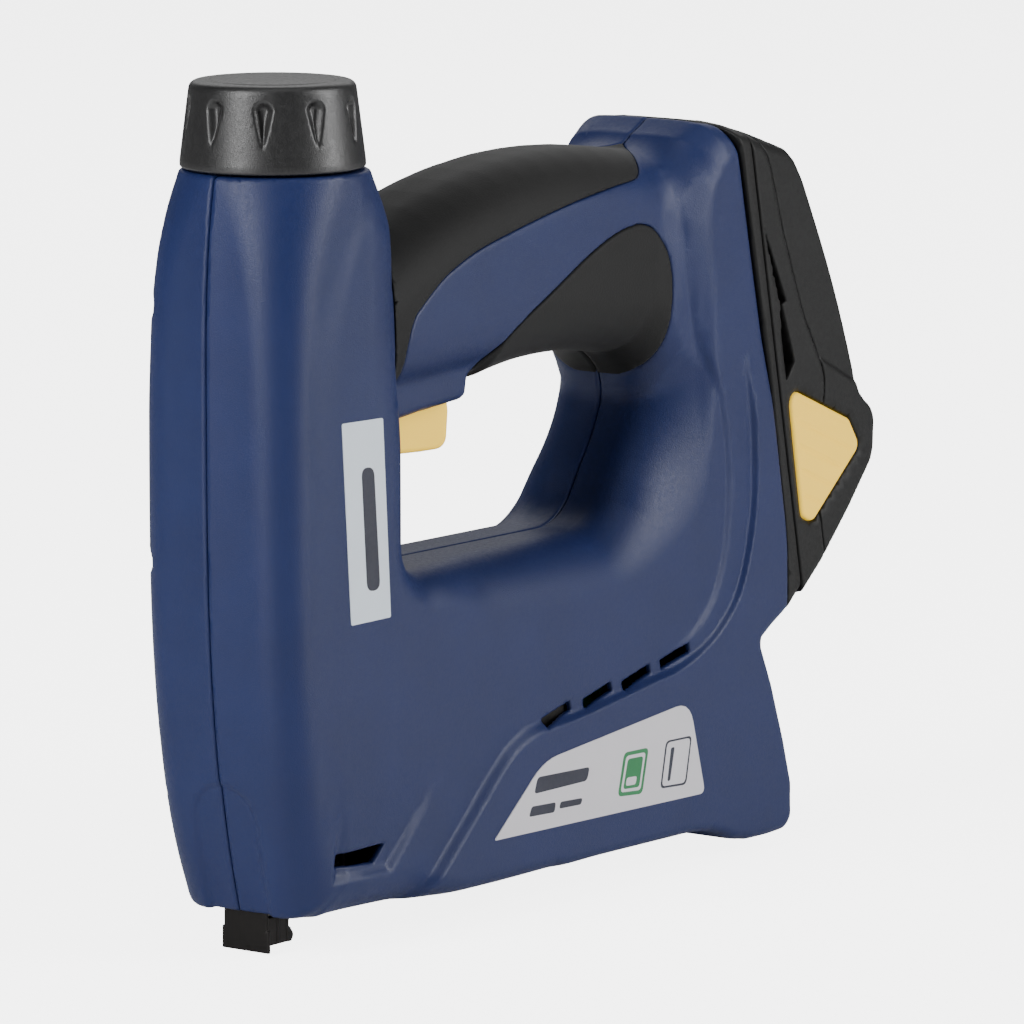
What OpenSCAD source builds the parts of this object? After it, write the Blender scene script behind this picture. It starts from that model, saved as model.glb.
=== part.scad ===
// Cordless spring-driven tacker: a column with the drive spring, a closed
// handle loop, a magazine along the base and a battery pack on the back.
// The design is laid out from the column axis (x = 0, y = 0) with the work
// surface at z = 0; place() then centres it on its own base.

/* [Body] */
// Height of the body's column, up to the power knob
col_top = 193.6; // [192:0.2:195]
// Radius of the round top of the column
col_r = 23.3; // [23:0.1:24]
// Half-width of the body
half_w = 26.6; // [26.2:0.1:27]
// Wall thickness of the body shell
wall = 2.4; // [2:0.1:2.6]
// Thickness of the soft grips
grip_t = 1.8; // [1:0.1:2]

/* [Power knob] */
// Height of the knob above the column
knob_h = 22.2; // [20:0.1:23]
// Radius of the knob's rim
knob_r = 22.9; // [22:0.1:23.2]
// Finger flutes round the knob
flutes = 10; // [6:1:12]

/* [Drive] */
// Wire radius of the main spring
wire_r = 1.5; // [1:0.1:1.6]
// Turns of the main spring
turns = 8; // [6:1:9]

/* [Magazine] */
// Outside width of a staple
staple_w = 10.6; // [10.2:0.1:10.6]
// Length of the staple strip
strip_l = 50; // [10:1:50]

/* [Battery pack] */
// Half-width of the pack
pack_w = 25.6; // [25:0.1:26]
// Depth of a release button
button_t = 4.6; // [4:0.1:5]

/* [Hidden] */
$fn = 48;

// Side outline of the body
bow_x = 27.5;          // furthest forward point of the column
bow_z = 137;           // its height
base_x = 15.4;         // front of the column at the body's underside
base_z = 9.6;          // underside of the body at the nose
col_back = 27.6;       // rear wall of the column
loop_floor = 93;       // floor of the finger opening
loop_roof = 137;       // underside of the handle
guard_z = 131.4;       // underside of the handle beside the trigger
grip_arc_r = 195;      // radius of the handle's top line
grip_peak = [104, 189.7];
dock_base = [182.9, 67.9];
dock_top = [160, 182.6];
dock_tilt = atan2(dock_base[0] - dock_top[0], dock_top[1] - dock_base[1]);
back_top_z = 192.3;    // top of the body beside the pack
body_max_x = 225.4;    // rearmost point of the pack
mid_x = (body_max_x - bow_x) / 2;

function front_x(z) = z < bow_z
    ? -bow_x + (bow_x - base_x) * pow((bow_z - z) / (bow_z - base_z), 2.4)
    : -bow_x + (bow_x - col_r) * pow((z - bow_z) / (col_top - bow_z), 2);
function arc(c, r, a0, a1, n) =
    [for (i = [0:n]) let (a = a0 + (a1 - a0) * i / n) [c[0] + r * cos(a), c[1] + r * sin(a)]];
function handle_top(x) = grip_peak[1] - grip_arc_r
    + sqrt(pow(grip_arc_r, 2) - pow(x - grip_peak[0], 2));

// The body's shell is a stack of slabs, each narrower outline further out,
// which rounds its edges: [half-width less, inset of the outline]
EDGE = [[11.6, 0], [7.2, 1.2], [3.6, 3.2], [1.2, 6.2], [0, 10]];
HANDLE_EDGE = [[13.5, 0], [8.5, 1.6], [4.2, 4.4], [1.2, 8.5], [0, 13]];
handle_w = 20.6;

module place() { translate([-mid_x, 0, 0]) children(); }
module slab(y0, y1) { translate([0, y1, 0]) rotate([90, 0, 0]) linear_extrude(y1 - y0) children(); }
module ypin(x, z, r, y0, y1) { translate([x, y0, z]) rotate([-90, 0, 0]) cylinder(h = y1 - y0, r = r); }
// The dock's own frame: first axis out of the body, second along the pack's slide
module dock() {
    translate([dock_base[0], 0, dock_base[1]]) rotate([0, -dock_tilt, 0]) children();
}
module half(side) {
    intersection() {
        children();
        translate([-60, side < 0 ? -60 : 0, -5]) cube([320, 60, 240]);
    }
}

// ---- body shell -----------------------------------------------------------
module body_outline() {
    polygon(concat(
        [for (i = [0:12]) let (z = base_z + (col_top - base_z) * i / 12) [front_x(z), z]],
        [[col_r, col_top], [27.3, 181.5], [col_back, 176]],
        arc([col_back + 6, loop_floor + 6], 6, 180, 270, 4),
        arc([104, loop_floor + 34.5], 34.5, -90, -8, 8),
        [[137, 135], [136, 146], [143, 184.4], [150.1, 188.5], [156.4, back_top_z - 0.1],
         [dock_base[0] - (back_top_z - dock_base[1]) * tan(dock_tilt), back_top_z], dock_base],
        [[178, 62], [170.4, 56.5], [172.8, 49], [180.8, 30.3], [186.6, 13.1]],
        arc([182, 6], 6, 10, -90, 5),
        [[174, 0], [166, 2.2], [158, 6.4], [149, 8.1]]));
}
module handle_outline() {
    polygon(concat(
        [[14, 150], [14, guard_z], [59, guard_z], [64.5, 136.4]],
        arc([98, loop_roof - 159.2], 160, 100, 82, 5),
        [[128, 136], [136, 130.5], [144, 128], [146, 184.6]],
        [for (i = [0:10]) let (x = 145.7 - 119.7 * i / 10) [x, handle_top(x)]],
        [[14, 170]]));
}
module stack(edge, w, t) {
    for (e = edge) slab(-(w - e[0] - t), w - e[0] - t) offset(delta = -e[1] - t) children();
}
// The round top of the column
module top_round(t) {
    translate([0, 0, 160]) cylinder(h = col_top - 160, r1 = 33 - t, r2 = col_r - t, $fn = 64);
    translate([-40, -40, -5]) cube([300, 80, 165]);
    translate([col_back - 3, -40, -5]) cube([240, 80, 240]);
}
module handle_solid(t) { stack(HANDLE_EDGE, handle_w, t) handle_outline(); }
module trunk_solid(t) {
    intersection() {
        stack(EDGE, half_w, t) body_outline();
        top_round(t);
    }
}

module top_grip_zone() {
    slab(-30, 30) polygon(concat(
        [[27.7, 139.5], [33, 149], [47.3, 161.8], [68.1, 172.4], [93.5, 179], [123.8, 182],
         [142.5, 181], [150, 200], [27.7, 200]]));
}
module lower_grip_zone() {
    slab(-30, 30) polygon(concat(
        [[65.8, 134], [66.5, 138.5], [82.5, 154.6], [104.5, 166], [116, 168.6], [125, 168],
         [131.4, 160], [133.2, 150], [131, 140], [127, 128], [110, 128]]));
}
module grip_skin() {
    difference() {
        handle_solid(0);
        handle_solid(grip_t);
        trunk_solid(0);
    }
}
module top_grip() { intersection() { grip_skin(); top_grip_zone(); } }
module lower_grips() { intersection() { grip_skin(); lower_grip_zone(); } }

// Screw positions along the parting plane
SCREWS = [[-19.6, 160], [-20.6, 97], [32, 163], [102, 158], [150, 174], [152, 112], [154, 44],
    [103, 36], [103, 83]];
boss_r = 3.4;
screw_r = 1.55;

module badge_outline() { polygon([[1.8, 134.3], [18.3, 132.8], [20.5, 80.3], [4.6, 80.6]]); }
module label_outline() {
    offset(r = 2) offset(delta = -2) polygon([[77, 38.7], [139.5, 42.8], [146, 19.2], [57, 19.9]]);
}
VENTS = [[138.5, 58], [122.6, 54.2], [106.7, 51.5], [90.4, 49.3]];
vent = [12.4, 2.6];

module shell_cuts() {
    // staple window, in the left side only
    slab(-40, -6) polygon([[1.7, 24.3], [19.1, 23.6], [13.8, 18.6], [-0.4, 20.3]]);
    // vents, in both sides
    for (v = VENTS) translate([v[0], 0, v[1]]) rotate([0, -14, 0]) cube([vent[0], 80, vent[1]], center = true);
    // outlet of the nose, and the way out of the magazine rail
    translate([-12.9, -8, 0]) cube([13.5, 16, 20]);
    translate([150, -9.6, 11]) cube([50, 19.2, 17.6]);
    // slot for the trigger, and the hole for the knob's bush
    translate([28.2, -7.3, 126]) cube([34.9, 14.6, 18]);
    ypin(trigger_at[0], trigger_at[1], 1.5, -11.1, 11.1);
    translate([0, 0, col_top - 5]) cylinder(h = 10, r = 9.1);
    slab(-40, -half_w + 1.4) badge_outline();
    slab(-40, -half_w + 0.5) label_outline();
    slab(half_w - 0.5, 40) label_outline();
}
// Ribs that hold the spring tube and stiffen the handle
module ribs() {
    for (z = [92, 120, 150, 178]) translate([-40, -40, z]) cube([col_back + 38.5, 80, 1.8]);
    for (x = [70, 118]) translate([x, -40, 140]) cube([1.8, 80, 60]);
}
module body_half(side) {
    difference() {
        union() {
            difference() {
                union() { trunk_solid(0); handle_solid(0); }
                difference() {
                    union() { trunk_solid(wall); handle_solid(wall + grip_t); }
                    ribs();
                }
                top_grip();
                lower_grips();
            }
            intersection() {
                union() { trunk_solid(1); handle_solid(grip_t + 0.5); }
                for (s = SCREWS) ypin(s[0], s[1], boss_r, -40, 40);
            }
        }
        shell_cuts();
        translate([0, 0, 60]) cylinder(h = col_top - 62.4, r = 14.7);
        for (s = SCREWS) {
            ypin(s[0], s[1], screw_r + 0.05, -12, 9.4);
            ypin(s[0], s[1], 3.1, 9.4, 40);
        }
        translate([-60, side < 0 ? 0 : -60, -5]) cube([320, 60, 240]);
    }
}
module housing_left() { color("#2d3c6e") place() body_half(-1); }
module housing_right() { color("#2d3c6e") place() body_half(1); }
module housing_screws() {
    color("silver") place() for (s = SCREWS) {
        ypin(s[0], s[1], screw_r, -11, 9.4);
        ypin(s[0], s[1], 3.0, 9.4, 11.6);
    }
}

// ---- grips, plates --------------------------------------------------------
module grip_top() { color("#2b2b2b") place() top_grip(); }
module grip_lower_left() { color("#2b2b2b") place() half(-1) lower_grips(); }
module grip_lower_right() { color("#2b2b2b") place() half(1) lower_grips(); }
module label_left() { color("gainsboro") place() slab(-half_w - 0.2, -half_w + 0.5) label_outline(); }
module label_right() { color("gainsboro") place() slab(half_w - 0.5, half_w + 0.2) label_outline(); }
module badge_left() { color("aliceblue") place() slab(-half_w - 0.2, -half_w + 1.4) badge_outline(); }

// ---- power knob and main spring --------------------------------------------
bush_z = col_top - 2.4;     // underside of the column's top wall
seat_z = 164;               // underside of the spring seat's disc
flange_z = 68;              // top of the plunger's flange
spring_r = 11;              // mean radius of the main spring

module power_knob() {
    color("#222222") place() difference() {
        rotate_extrude($fn = 96) polygon(concat(
            [[knob_r - 2.4, col_top + 0.5], [knob_r, col_top + 0.5], [knob_r, col_top + 2]],
            arc([17.6, col_top + knob_h - 3], 3, 12, 90, 5),
            [[0, col_top + knob_h + 0.2], [0, col_top + 15], [6, col_top + 15],
             [6, col_top + knob_h - 2.6], [17, col_top + knob_h - 2.6], [knob_r - 2.4, col_top + 4]]));
        for (i = [0:flutes - 1]) rotate([0, 0, i * 360 / flutes - 3.5]) translate([23.5, 0, col_top + 6])
            rotate([0, -9, 0]) cylinder(h = 9.5, r1 = 0.8, r2 = 2.4, $fn = 24);
    }
}
module knob_spindle() {
    color("silver") place() {
        translate([0, 0, 154]) cylinder(h = 54.5, r = 4);
        translate([0, 0, bush_z - 6.6]) cylinder(h = 2.4, r = 7.5);
    }
}
module spindle_bush() {
    color("gray") place() difference() {
        union() {
            translate([0, 0, bush_z - 4.1]) cylinder(h = 4, r = 14);
            translate([0, 0, bush_z - 0.1]) cylinder(h = 2.4, r = 9);
        }
        translate([0, 0, bush_z - 10]) cylinder(h = 20, r = 4.05);
    }
}
module spring_seat() {
    color("goldenrod") place() difference() {
        union() {
            translate([0, 0, seat_z]) cylinder(h = 3, r = 13);
            translate([0, 0, seat_z - 8]) cylinder(h = 16, r = 7);
        }
        translate([0, 0, seat_z - 10]) cylinder(h = 20, r = 4.05);
    }
}
module coil(r, wire, z0, z1, n, steps, sides) {
    rings = n * steps;
    rise = (z1 - z0 - 2 * wire) / rings;
    lean = atan2(rise * steps, 2 * PI * r);
    pts = [for (i = [0:rings], j = [0:sides - 1])
        let (a = 360 * i / steps, b = 360 * j / sides,
             u = r + wire * cos(b), v = wire * sin(b))
        [u * cos(a) + v * sin(lean) * sin(a), u * sin(a) - v * sin(lean) * cos(a),
         z0 + wire + rise * i + v * cos(lean)]];
    body = [for (i = [0:rings - 1], j = [0:sides - 1])
        let (k = (j + 1) % sides)
        [i * sides + j, (i + 1) * sides + j, (i + 1) * sides + k, i * sides + k]];
    polyhedron(pts, concat([[for (j = [0:sides - 1]) j]], body,
        [[for (j = [0:sides - 1]) rings * sides + sides - 1 - j]]));
}
module main_spring() {
    color("silver") place() coil(spring_r, wire_r, flange_z + 0.1, seat_z - 0.1, turns, 16, 8);
}
module spring_tube() {
    color("gray") place() translate([0, 0, 88.2]) difference() {
        cylinder(h = bush_z - 4.2 - 88.2, r = 14.6);
        translate([0, 0, -1]) cylinder(h = 120, r = 13.4);
    }
}

// ---- plunger, blade, frame ---------------------------------------------------
sector_r = 14;              // pitch radius of the lifter's sector
sector_m = 2;               // its module
lifter_at = [27, 60];       // lifter axis
stroke_pitch = PI * sector_m;
blade_t = 0.9;
blade_x = -10.4;            // front face of the driver blade
blade_tip = 3;              // lowest point of the blade
module plunger() {
    color("dimgray") place() difference() {
        union() {
            translate([-9.45, -8.4, 36]) cube([17.45, 16.8, 27]);
            translate([0, 0, 62]) cylinder(h = 6, r = 13);
            translate([0, 0, 62]) cylinder(h = 12, r = 8.5);
            slab(-4.5, 4.5) rack_outline();
        }
        translate([9.2, -6, 61]) cube([10, 12, 20]);
        translate([-20, 0, 52]) rotate([0, 90, 0]) cylinder(h = 16, r = screw_r);
    }
}
module rack_outline() {
    polygon(concat([[7, 36], [7, 61], [11, 61]],
        [for (k = [0:3], p = [[0, 1.55], [3.6, 0.85], [3.6, -0.85], [0, -1.55]])
            [11 + p[0], lifter_at[1] - stroke_pitch * (k + 0.5) + p[1]]],
        [[11, 36]]));
}
module driver_blade() {
    color("silver") place() difference() {
        translate([blade_x, -5.2, blade_tip]) cube([blade_t, 10.4, 57]);
        translate([-20, 0, 52]) rotate([0, 90, 0]) cylinder(h = 16, r = screw_r);
    }
}
module blade_pin() {
    color("gray") place() {
        translate([blade_x, 0, 52]) rotate([0, 90, 0]) cylinder(h = 6.4, r = screw_r);
        translate([blade_x - 0.9, 0, 52]) rotate([0, 90, 0]) cylinder(h = 0.9, r = 2.6);
    }
}
module bumper() {
    color("#333333") place() translate([-8, -8, 30]) cube([15, 16, 5.8]);
}
idler_at = [lifter_at[0] + 31.25 * cos(5), lifter_at[1] + 31.25 * sin(5)];
motor_at = [idler_at[0] + 24 * cos(-10), idler_at[1] + 24 * sin(-10)];
module drive_frame() {
    color("lightslategray") place() {
        difference() {
            for (y = [-10.9, 8.9]) slab(y, y + 2)
                polygon([[-13.4, 28], [60, 28], [66, 34], [66, 74], [58, 80], [20, 80], [15, 61], [-13.4, 61]]);
            ypin(lifter_at[0], lifter_at[1], 3, -20, 0);
            ypin(lifter_at[0], lifter_at[1], 7.4, 0, 20);
            ypin(idler_at[0], idler_at[1], 2.5, -20, 20);
        }
        difference() {
            translate([-13.4, -8.9, 28]) cube([30, 17.8, 2]);
            translate([-11.6, -5.6, 27]) cube([2.8, 11.2, 4]);
        }
        translate([-13.4, -8.9, 30]) cube([1.5, 17.8, 31]);
    }
}

// ---- gears -----------------------------------------------------------------
// A gear outline: each tooth is a trapezoid, thinner than half the pitch
module gear2d(n, m, at, first, count) {
    p = 360 / n;
    r = n * m / 2;
    translate(at) polygon([for (i = [0:n - 1])
        let (a = first + i * p, tall = i < count)
        each (tall
            ? [for (q = [[-0.31, -1.05], [-0.115, 0.75], [0.115, 0.75], [0.31, -1.05]])
                [(r + q[1] * m) * cos(a + q[0] * p), (r + q[1] * m) * sin(a + q[0] * p)]]
            : [for (q = [-0.31, 0, 0.31])
                [(r - 1.05 * m) * cos(a + q * p), (r - 1.05 * m) * sin(a + q * p)]])]);
}
gear_y = 13.5;
module lifter_gear() {
    color("silver") place() difference() {
        union() {
            // sector that lifts the rack: one tooth in mesh, five still to come
            slab(-4.2, 4.2) gear2d(14, sector_m, lifter_at, 180, 6);
            ypin(lifter_at[0], lifter_at[1], 7, -8.6, gear_y);
            slab(gear_y, gear_y + 4) gear2d(40, 1.25, lifter_at, 5, 40);
        }
        ypin(lifter_at[0], lifter_at[1], 3.05, -30, 30);
    }
}
module lifter_axle() { color("gray") place() ypin(lifter_at[0], lifter_at[1], 3, -13, 20); }
module idler_gear() {
    color("silver") place() difference() {
        union() {
            slab(gear_y, gear_y + 4.4) gear2d(10, 1.25, idler_at, 185 + 18, 10);
            slab(gear_y + 4.4, gear_y + 7.4) gear2d(50, 0.8, idler_at, -10, 50);
        }
        ypin(idler_at[0], idler_at[1], 2.55, -30, 30);
    }
}
module idler_axle() { color("gray") place() ypin(idler_at[0], idler_at[1], 2.5, -13, 22.4); }
module motor() {
    color("silver") place() difference() {
        union() {
            ypin(motor_at[0], motor_at[1], 13.8, -22.4, 13.4);
            ypin(motor_at[0], motor_at[1], 5, 13.4, 15.1);
        }
        ypin(motor_at[0], motor_at[1], 1.2, -21, 30);
    }
}
module motor_plate() {
    color("lightslategray") place() difference() {
        slab(13.5, 15) polygon([[67.5, 43], [98, 43], [98, 75], [67.5, 75]]);
        ypin(motor_at[0], motor_at[1], 5.05, 0, 20);
    }
}
module motor_pinion() {
    color("gold") place() {
        ypin(motor_at[0], motor_at[1], 1.15, -20, 22);
        slab(gear_y + 4.2, gear_y + 7.6) gear2d(10, 0.8, motor_at, 170 + 18, 10);
    }
}

// ---- trigger ------------------------------------------------------------------
trigger_at = [33, 134];
module trigger() {
    color("#f5c66a") place() difference() {
        union() {
            slab(-6.8, 6.8) polygon(concat([[28.6, 131], [28.6, 119.4]],
                [[30, 118.7], [54, 118.9]], arc([57.6, 122.6], 3.8, -80, 10, 5), [[61.6, 130.2], [60.4, 131]]));
            slab(-5.6, 5.6) polygon([[29.6, 131], [60.2, 131], [57.5, 139.6], [31, 139.6]]);
        }
        ypin(trigger_at[0], trigger_at[1], 1.55, -20, 20);
    }
}
module trigger_pin() { color("silver") place() ypin(trigger_at[0], trigger_at[1], 1.5, -11, 11); }
module switch_body() {
    color("#222222") place() difference() {
        translate([42, -5, 146]) cube([20, 10, 12]);
        translate([49.6, -2.4, 140]) cube([4.8, 4.8, 14]);
    }
}
module switch_button() { color("#b03030") place() translate([50, -2, 140.1]) cube([4, 4, 9.8]); }
module trigger_spring() {
    color("silver") place() translate([45.6, 0, 0]) coil(2.2, 0.35, 139.7, 145.9, 5, 10, 4);
}
module control_board() {
    color("#2e6b3a") place() {
        translate([107, -3, 42]) cube([38, 1.6, 34]);
        translate([112, -9, 46]) cube([12, 6, 10]);
        translate([128, -8, 60]) cube([10, 5, 12]);
        translate([114, -14, 62]) cube([8, 11, 8]);
    }
}

// ---- nose and magazine ----------------------------------------------------------
foot_x = -12.3;
module contact_foot() {
    color("#1c1c1c") place() {
        // front plate with a narrower neck above it
        translate([foot_x, -7.4, 0]) cube([0.9, 14.8, 5.6]);
        translate([foot_x, -6.8, 5.6]) cube([0.9, 13.6, 19]);
        for (s = [-1, 1]) {
            // cheek beside the guide, with two ribs and a rounded heel
            translate([foot_x + 0.9, s < 0 ? -7.2 : 6, 1.9]) cube([8.4, 1.2, 7.2]);
            for (x = [-8.9, -5.2]) translate([x, s < 0 ? -7.5 : 7.2, 2]) cube([0.9, 0.3, 6.8]);
            ypin(-3.6, 3.4, 1.5, s < 0 ? -7.2 : 6, s < 0 ? -6 : 7.2);
        }
    }
}
module nose_guide() {
    color("slategray") place() {
        translate([-11.2, -5.8, 3]) cube([0.7, 11.6, 24.9]);
        translate([-9.3, -5.8, 3]) cube([5.6, 11.6, 9]);
        for (y = [-5.8, 5.3]) translate([-10.5, y, 3]) cube([1.2, 0.5, 9]);
    }
}
channel_front = -9.3;
module magazine_channel() {
    color("slategray") place() difference() {
        translate([channel_front, -6.8, 13.4]) cube([167, 13.6, 13]);
        translate([channel_front - 1, -5.8, 0]) cube([170, 11.6, 25.4]);
        translate([0, -10, 17.4]) cube([19, 5, 7]);
    }
}
module magazine_rail() {
    color("silver") place() {
        translate([channel_front + 0.2, -6.6, 12.2]) cube([169, 13.2, 1]);
        difference() {
            translate([channel_front + 0.2, -4.3, 13.2]) cube([169, 8.6, 10.4]);
            translate([channel_front - 1, -3.5, 13.2]) cube([180, 7, 9.6]);
        }
    }
}
module rail_end() {
    color("#222222") place() difference() {
        slab(-9.2, 9.2) polygon([[160.2, 11.6], [186.4, 11.6], [186.2, 14], [181.2, 28.2], [160.2, 28.2]]);
        translate([160, -6.7, 11]) cube([9.6, 13.4, 16]);
        translate([170.4, -4.3, 15.7]) cube([20, 8.6, 7.6]);
    }
}
module magazine_latch() {
    color("#222222") place() slab(-4, 4) polygon([[173, 16], [186.6, 16], [184.2, 23], [173, 23]]);
}
strip_end = channel_front + 0.2 + strip_l;
module pusher() {
    color("gray") place() difference() {
        translate([strip_end + 0.05, -5.4, 14.4]) cube([13, 10.8, 10.6]);
        translate([strip_end - 1, -4.5, 10]) cube([16, 9, 13.8]);
    }
}
module staples() {
    color("lightgray") place() difference() {
        translate([channel_front + 0.2, -staple_w / 2, 14.6]) cube([strip_l, staple_w, 10]);
        translate([channel_front - 1, -4.6, 10]) cube([strip_l + 4, 9.2, 14]);
    }
}

// ---- dock and battery pack --------------------------------------------------------
// Outlines in the dock's frame: [out of the body, along the slide]
pack_front = 8.3;
function pack_back(s) = 43.2 - (s - 44.6) * 0.222 + 1.2 * sin(180 * (s - 44.6) / 54);
module pack_outline() {
    polygon(concat(
        [[pack_front, 2.6], [12, 3], [23.1, 7.4], [34.6, 13.4], [45.6, 21]],
        arc([42.5, 32], 7.2, -50, 60, 6),
        [[43.2, 41.6], [43, 44.6]],
        [for (i = [1:6]) let (s = 44.6 + 54 * i / 6) [pack_back(s), s]],
        arc([23.5, 112.5], 6.2, 10, 80, 5),
        [[15, 120.6], [pack_front, 121]]));
}
module dock_slab(y0, y1) {
    translate([0, y1, 0]) rotate([90, 0, 0]) linear_extrude(y1 - y0) children();
}
module pack_solid(t) {
    for (e = [[5, 0], [2, 1.6], [0, 4.5]]) dock_slab(-(pack_w - e[0] - t), pack_w - e[0] - t)
        intersection() {
            offset(delta = -e[1] - t) pack_outline();
            translate([pack_front + t, 0]) square([60, 130]);
        }
}
module button_outline(grow) {
    hull() for (p = [[4.6, 46.9, 3.2], [30.4, 41.2, 3], [31.6, 37.4, 3], [14, 18.6, 3.2]])
        translate([p[0] + 7.2, p[1]]) circle(p[2] + grow, $fn = 24);
}
split_t = 20;                 // plane between pack case and pack cover
cell_r = 9.2;
module cells_at() { for (y = [-9.6, 9.6]) translate([20.6, y, 32]) children(); }
module dock_frame() {
    color("#2b2b2b") place() dock() difference() {
        for (e = [[4, 0], [0, 2]]) dock_slab(-(25.8 - e[0]), 25.8 - e[0])
            polygon([[0.1, 0.4 + e[1]], [8, 2.4 + e[1]], [8, 122 - e[1]], [6, 123.8 - e[1]],
                     [0.1, 125.6 - e[1]]]);
        translate([5.2, -7, 8]) cube([10, 14, 130]);
        translate([2.9, -11, 8]) cube([2.6, 22, 130]);
    }
}
module dock_terminals() {
    color("gold") place() dock() for (y = [-5, 5]) translate([3.4, y - 0.4, 8]) cube([4.2, 0.8, 13]);
}
module button_pocket(side, grow, depth) {
    dock_slab(side < 0 ? -40 : pack_w - depth, side < 0 ? -pack_w + depth : 40) button_outline(grow);
}
module pack_shell() {
    difference() {
        union() {
            difference() {
                pack_solid(0);
                pack_solid(2);
            }
            // tongue that runs in the dock's T slot
            translate([5.4, -6.6, 8.2]) cube([3, 13.2, 92]);
            translate([3.2, -10.6, 8.2]) cube([2.2, 21.2, 92]);
            // walls under the release buttons
            intersection() {
                pack_solid(1);
                for (s = [-1, 1]) button_pocket(s, 2, 9);
            }
        }
        for (s = [-1, 1]) button_pocket(s, 0.3, button_t + 2.4);
        for (y = [-5, 5]) translate([0, y - 0.9, 8]) cube([10, 1.8, 14]);
        cells_at() cylinder(h = 66, r = cell_r + 0.3);
    }
}
PACK_SCREWS = [-16, 16];
module pack_case() {
    color("#262626") place() dock() intersection() {
        pack_shell();
        translate([-5, -40, -10]) cube([split_t + 5, 80, 150]);
    }
}
module pack_cover() {
    color("#262626") place() dock() difference() {
        intersection() {
            pack_shell();
            translate([split_t, -40, -10]) cube([40, 80, 150]);
        }
        for (y = PACK_SCREWS) translate([split_t - 1, y, 28]) rotate([0, 90, 0]) cylinder(h = 50, r = 1.6);
    }
}
module pack_cells() { color("teal") place() dock() cells_at() translate([0, 0, 0.5]) cylinder(h = 65, r = cell_r); }
module pack_contacts() {
    color("gold") place() dock() for (y = [-9.6, 9.6]) translate([14, y - 4, 97.7]) cube([10, 8, 0.5]);
}
module pack_screws() {
    color("silver") place() dock() for (y = PACK_SCREWS)
        translate([split_t + 0.5, y, 28]) rotate([0, 90, 0]) cylinder(h = 26, r = 1.5);
}
module release_button(side) {
    y0 = side < 0 ? -pack_w - 0.4 : pack_w + 0.4 - button_t;
    dock_slab(y0, y0 + button_t) button_outline(0);
}
module release_button_left() { color("#f5c66a") place() dock() release_button(-1); }
module release_button_right() { color("#f5c66a") place() dock() release_button(1); }

housing_left();
housing_right();
housing_screws();
grip_top();
grip_lower_left();
grip_lower_right();
label_left();
label_right();
badge_left();
dock_frame();
dock_terminals();
power_knob();
knob_spindle();
spindle_bush();
spring_seat();
main_spring();
spring_tube();
plunger();
driver_blade();
blade_pin();
bumper();
drive_frame();
lifter_gear();
lifter_axle();
idler_gear();
idler_axle();
motor();
motor_plate();
motor_pinion();
trigger();
trigger_pin();
switch_body();
switch_button();
trigger_spring();
control_board();
contact_foot();
nose_guide();
magazine_channel();
magazine_rail();
rail_end();
magazine_latch();
pusher();
staples();
pack_case();
pack_cover();
pack_cells();
pack_contacts();
pack_screws();
release_button_left();
release_button_right();
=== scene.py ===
import math

import bmesh
import bpy
import numpy as np
import openvdb
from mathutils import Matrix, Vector


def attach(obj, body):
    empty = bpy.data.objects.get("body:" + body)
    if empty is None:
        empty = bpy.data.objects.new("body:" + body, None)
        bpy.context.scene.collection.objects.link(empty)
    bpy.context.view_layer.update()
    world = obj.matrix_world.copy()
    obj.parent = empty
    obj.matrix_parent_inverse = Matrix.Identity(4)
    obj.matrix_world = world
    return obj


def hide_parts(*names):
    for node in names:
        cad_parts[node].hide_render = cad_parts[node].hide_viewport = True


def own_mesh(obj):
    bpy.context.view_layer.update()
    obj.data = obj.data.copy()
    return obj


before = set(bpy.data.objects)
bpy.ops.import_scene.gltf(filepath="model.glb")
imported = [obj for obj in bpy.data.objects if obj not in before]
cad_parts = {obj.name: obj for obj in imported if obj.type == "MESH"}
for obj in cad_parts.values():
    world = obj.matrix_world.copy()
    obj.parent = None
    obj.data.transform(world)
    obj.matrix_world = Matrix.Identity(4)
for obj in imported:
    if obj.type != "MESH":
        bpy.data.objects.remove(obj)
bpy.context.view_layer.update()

# ---------------------------------------------------------------------------
# Design frame: column axis at x 0, y 0, work surface at z 0, millimetres.
# The row frame is that frame moved by MID_X and scaled to metres.
# ---------------------------------------------------------------------------
MID_X = 98.95
MM = 0.001
COL_TOP = 193.6
COL_FOOT = 9.6        # underside of the column
COL_R = 23.3
HALF_MAIN = 24.4      # half-width of the main side panel
HALF_FRAME = 26.6     # half-width of the raised frame round it
WALL = 1.9
GRIP_T = 1.8
KNOB_R = 22.9
KNOB_TOP = 215.9
FLUTES = 10
DOCK_BASE = (182.9, 67.9)
TILT = math.atan2(182.9 - 160.0, 182.6 - 67.9)
HOUSING_STEP = 0.5
FINE = 1.0
SCREW_HOLE_R = 1.6
TRIGGER_PIN = (33, 134)


def smooth_max(a, b, k):
    return np.maximum(a, b) + np.maximum(k - np.abs(a - b), 0) ** 2 / (4 * k)


def smooth_min(a, b, k):
    return np.minimum(a, b) - np.maximum(k - np.abs(a - b), 0) ** 2 / (4 * k)


def overlap(*fields):
    """What lies inside every one of the given fields."""
    out = fields[0]
    for field in fields[1:]:
        out = np.maximum(out, field)
    return out


def union(*fields):
    """What lies inside any of the given fields."""
    out = fields[0]
    for field in fields[1:]:
        out = np.minimum(out, field)
    return out


def between(v, low, high):
    """Distance outside the span low to high, negative inside."""
    return np.maximum(low - v, v - high)


def disc(u, v, centre, radius):
    """Distance to a circle in the u, v plane, negative inside."""
    return np.sqrt((u - centre[0]) ** 2 + (v - centre[1]) ** 2) - radius


def step(x, a, b):
    """0 before a, 1 after b, smooth between."""
    t = np.clip((x - a) / (b - a), 0, 1)
    return t * t * (3 - 2 * t)


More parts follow.
